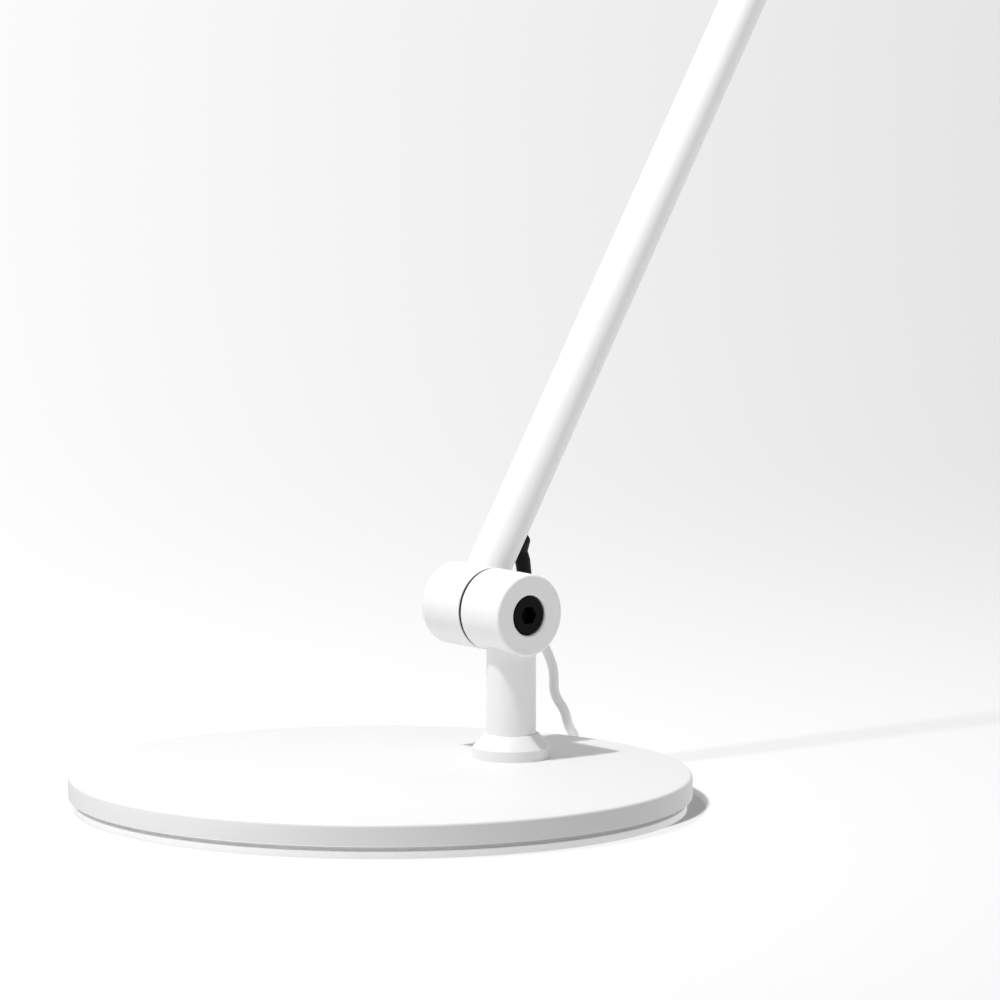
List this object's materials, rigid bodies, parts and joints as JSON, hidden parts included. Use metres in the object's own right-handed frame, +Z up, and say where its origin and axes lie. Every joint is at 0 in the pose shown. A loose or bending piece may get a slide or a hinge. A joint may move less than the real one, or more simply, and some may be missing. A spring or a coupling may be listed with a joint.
{
  "type": "architect desk lamp",
  "caption": "Desk lamp with a weighted disc base, an off-centre swivel post and tube arms on friction knuckles carrying a tilting spun shade with an LED light.",
  "frame": {"origin": "centre of the base's underside, on the table", "axes": "+Z up; -Y forward, to where the head reaches; +X to the side that the knuckles' socket screws face"},
  "size_m": [0.2413, 0.4133, 0.5115],
  "materials": {
    "white_steel": "white powder coat on steel",
    "white_alloy": "white powder coat on aluminium",
    "black_screw": "black oxide",
    "bright_steel": "zinc plated",
    "bare_alloy": "bare die casting",
    "pale_rubber": "matt foam rubber",
    "black_rubber": "moulded soft vinyl",
    "friction_fibre": "pressed fibre",
    "white_acetal": "turned acetal",
    "grey_lead": "extruded vinyl sheath",
    "tie_grey": "woven strap",
    "black_plastic": "fine texture",
    "switch_grey": "gloss",
    "opal": "opal acrylic",
    "board_white": "white solder mask",
    "emitter": "phosphor under silicone",
    "plug_nickel": "nickel plated"
  },
  "bodies": {
    "base": {"base_disc": "white_steel", "base_pad": "pale_rubber", "foot_collar": "white_steel", "collar_nut": "bright_steel", "lead_drop": "grey_lead", "lead_hank": "grey_lead", "hank_tie": "tie_grey", "lead_tail": "grey_lead", "plug_body": "black_plastic", "plug_tip": "plug_nickel"},
    "stem": {"post": "white_steel", "swivel_washer": "white_acetal", "retaining_washer": "bright_steel", "retaining_screw": "bright_steel", "lower_screw_half": "white_alloy", "lower_friction_disc": "friction_fibre"},
    "lower_arm": {"lower_nut_half": "white_alloy", "lower_cap_screw": "black_screw", "lower_disc_springs": "bright_steel", "lower_lock_nut": "bright_steel", "lower_arm_tube": "white_alloy", "lower_inner_lead": "grey_lead", "strain_relief": "black_rubber", "elbow_nut_half": "white_alloy", "elbow_cap_screw": "black_screw", "elbow_disc_springs": "bright_steel", "elbow_lock_nut": "bright_steel"},
    "upper_arm": {"elbow_screw_half": "white_alloy", "elbow_friction_disc": "friction_fibre", "upper_arm_tube": "white_alloy", "upper_inner_lead": "grey_lead", "head_screw_half": "white_alloy", "head_friction_disc": "friction_fibre"},
    "head": {"head_nut_half": "white_alloy", "head_cap_screw": "black_screw", "head_disc_springs": "bright_steel", "head_lock_nut": "bright_steel", "head_stem": "white_alloy", "shade_cap": "white_alloy", "shade": "white_alloy", "heat_sink": "bare_alloy", "mounting_screws": "bright_steel", "led_board": "board_white", "led_chips": "emitter", "diffuser": "opal", "head_inner_lead": "grey_lead", "switch_body": "black_plastic"},
    "switch": {"switch_button": "switch_grey"}
  },
  "joints": [
    {"name": "base_swivel", "type": "hinge", "parent": "base", "child": "stem", "pos_m": [0, 0.0605, 0.0126], "axis": [0, 0, 1], "range_deg": [-90, 90], "deforming": ["lead_drop"]},
    {"name": "lower_tilt", "type": "hinge", "parent": "stem", "child": "lower_arm", "pos_m": [0, 0.0605, 0.0657], "axis": [1, 0, 0], "range_deg": [-25, 40], "deforming": ["lead_drop"]},
    {"name": "elbow_tilt", "type": "hinge", "parent": "lower_arm", "child": "upper_arm", "pos_m": [0, 0.25621, 0.39142], "axis": [1, 0, 0], "range_deg": [-70, 25]},
    {"name": "head_tilt", "type": "hinge", "parent": "upper_arm", "child": "head", "pos_m": [0, -0.06714, 0.49649], "axis": [1, 0, 0], "range_deg": [-70, 25]},
    {"name": "switch_press", "type": "slide", "parent": "head", "child": "switch", "axis": [0, 0, -1], "range_m": [0, 0.0016], "stiffness_N_per_m": 800}
  ]
}
